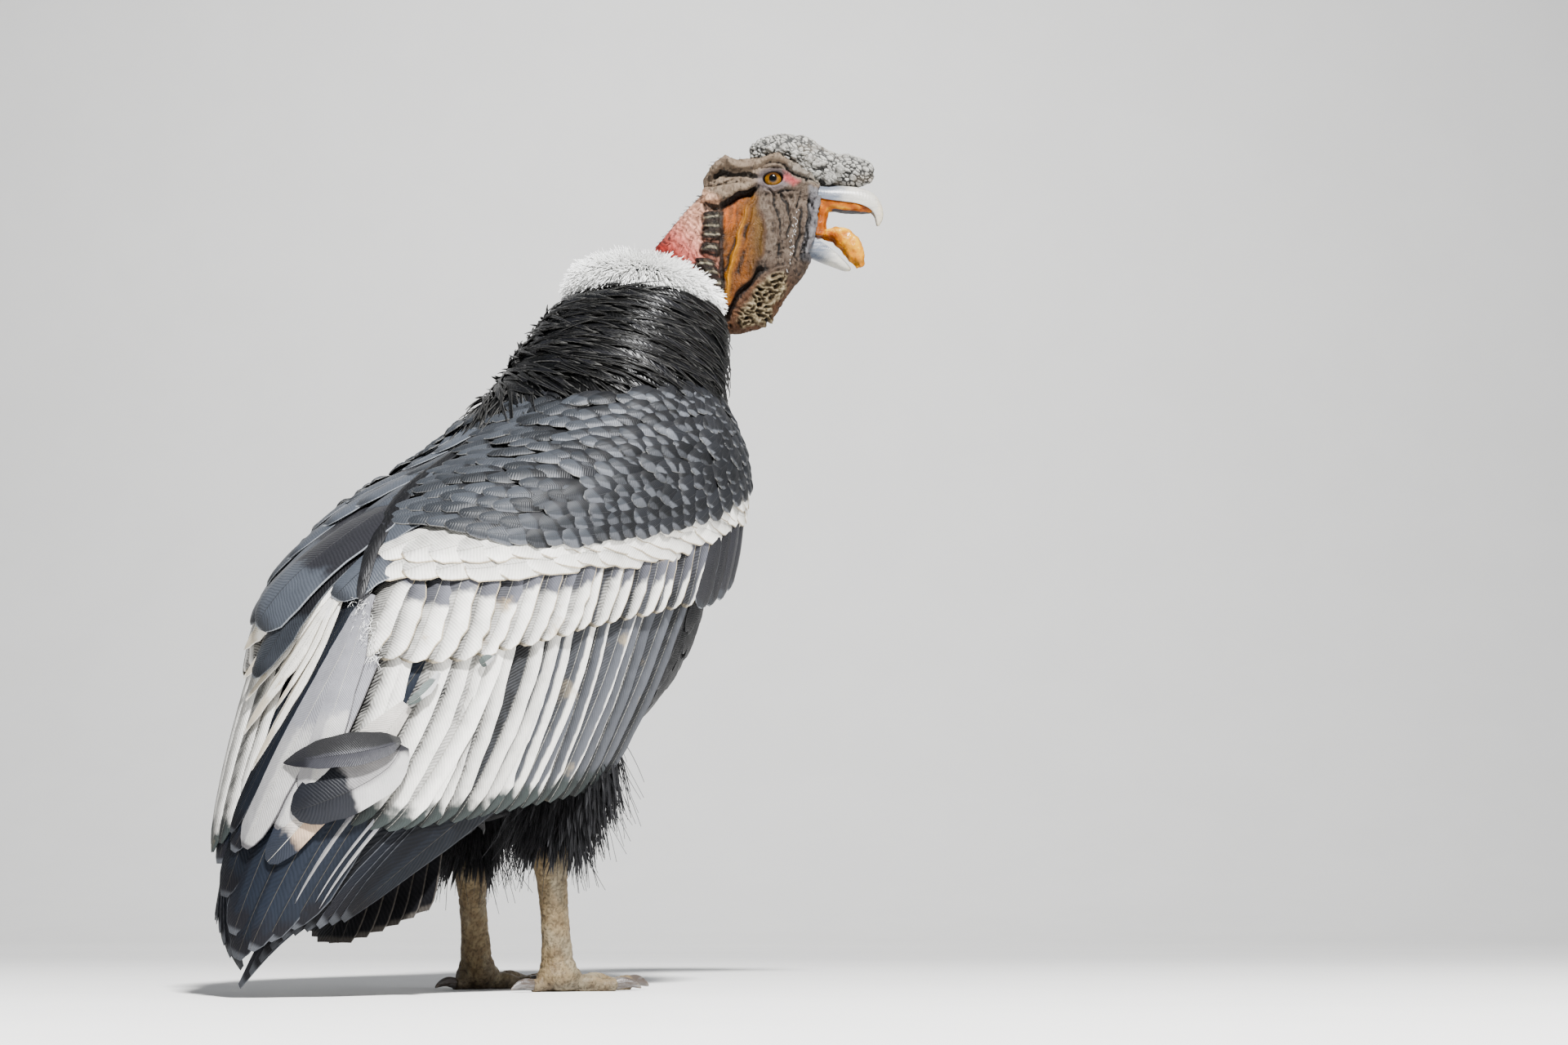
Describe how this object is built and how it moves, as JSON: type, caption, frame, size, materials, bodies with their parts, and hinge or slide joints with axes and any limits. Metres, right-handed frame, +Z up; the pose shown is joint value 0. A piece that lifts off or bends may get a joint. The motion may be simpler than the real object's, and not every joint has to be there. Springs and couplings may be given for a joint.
{
  "type": "andean condor",
  "caption": "Life-size standing condor with folded wings, white ruff, fleshy comb, head turned to its right and bill open.",
  "frame": {"origin": "on the floor, under the middle of the bird's bounding box", "axes": "+X the way the body faces, +Y to the bird's left, +Z up"},
  "size_m": [0.6908, 0.352, 0.9125],
  "materials": {
    "black_feather": "glossy black body feathers",
    "wing_feather": "grey and white wing feathers",
    "down": "soft white down",
    "face_skin": "bare wrinkled grey-brown skin",
    "neck_skin": "bare folded pink and orange skin",
    "comb": "fleshy pebbled grey comb",
    "horn": "ivory horn",
    "mouth": "moist orange mouth lining and tongue",
    "eye": "wet brown eye",
    "leg": "scaled olive leg skin",
    "claw": "worn dark claw"
  },
  "bodies": {
    "root": {"wing_right": "wing_feather", "thigh_right": "black_feather", "tarsus_right": "leg", "foot_right": "leg", "claw_right_middle": "claw", "claw_right_outer": "claw", "claw_right_inner": "claw", "claw_right_hind": "claw", "eye_right": "eye", "wing_left": "wing_feather", "thigh_left": "black_feather", "tarsus_left": "leg", "foot_left": "leg", "claw_left_middle": "claw", "claw_left_outer": "claw", "claw_left_inner": "claw", "claw_left_hind": "claw", "eye_left": "eye", "torso": "black_feather", "tail": "black_feather", "mantle": "black_feather", "ruff": "down", "neck": "neck_skin", "throat": "neck_skin", "head": "face_skin", "comb": "comb", "bill_upper": "horn", "mouth": "mouth", "bill_lower": "horn", "tongue": "mouth"}
  },
  "joints": []
}
